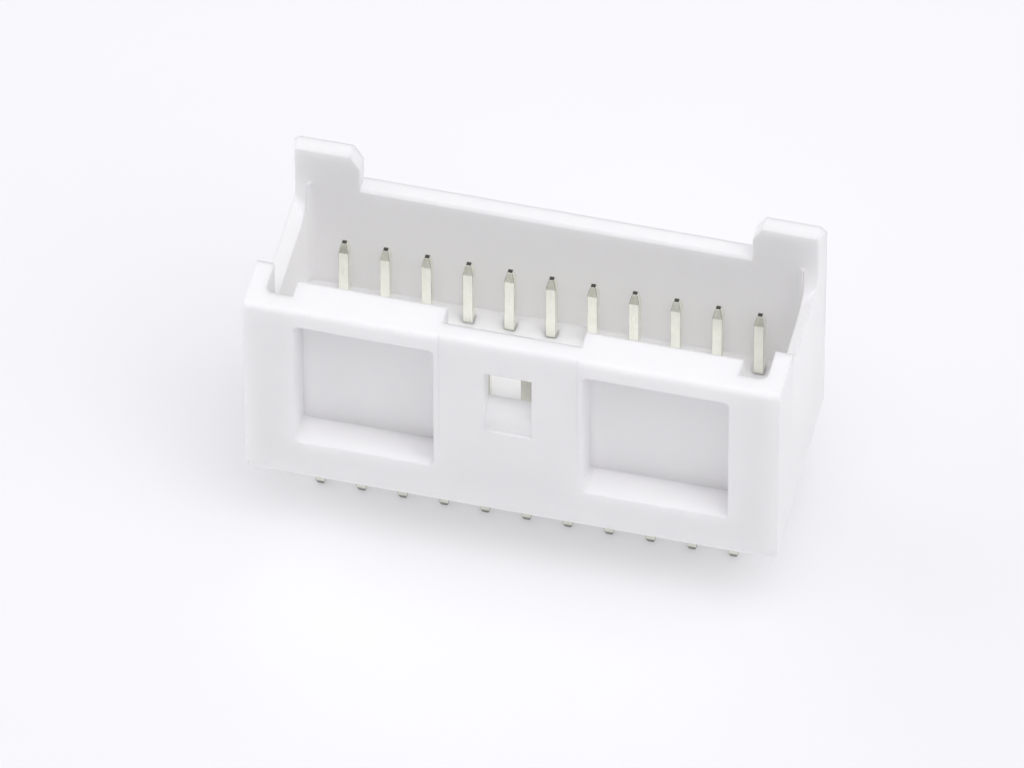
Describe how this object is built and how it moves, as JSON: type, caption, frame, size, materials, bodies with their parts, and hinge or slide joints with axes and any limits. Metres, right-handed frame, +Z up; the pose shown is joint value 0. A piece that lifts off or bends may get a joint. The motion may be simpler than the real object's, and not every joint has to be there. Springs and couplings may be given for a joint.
{
  "type": "shrouded board header",
  "caption": "Upright white box header for a circuit board: rows of square pins inside a keyed shroud with a lock window, pocketed front bays and tall corner ears.",
  "frame": {"origin": "middle of the foot face that stands on the board", "axes": "+X along the rows, +Y from the front wall with the lock window towards the back wall, +Z up out of the board towards the plug"},
  "size_m": [0.0256, 0.01, 0.0165],
  "materials": {
    "housing": "white moulded nylon, fine satin",
    "pins": "bright tin plate over brass"
  },
  "bodies": {
    "root": {"housing": "housing", "pin_front_1": "pins", "pin_front_2": "pins", "pin_front_3": "pins", "pin_front_4": "pins", "pin_front_5": "pins", "pin_front_6": "pins", "pin_front_7": "pins", "pin_front_8": "pins", "pin_front_9": "pins", "pin_front_10": "pins", "pin_front_11": "pins", "pin_rear_1": "pins", "pin_rear_2": "pins", "pin_rear_3": "pins", "pin_rear_4": "pins", "pin_rear_5": "pins", "pin_rear_6": "pins", "pin_rear_7": "pins", "pin_rear_8": "pins", "pin_rear_9": "pins", "pin_rear_10": "pins", "pin_rear_11": "pins"}
  },
  "joints": []
}
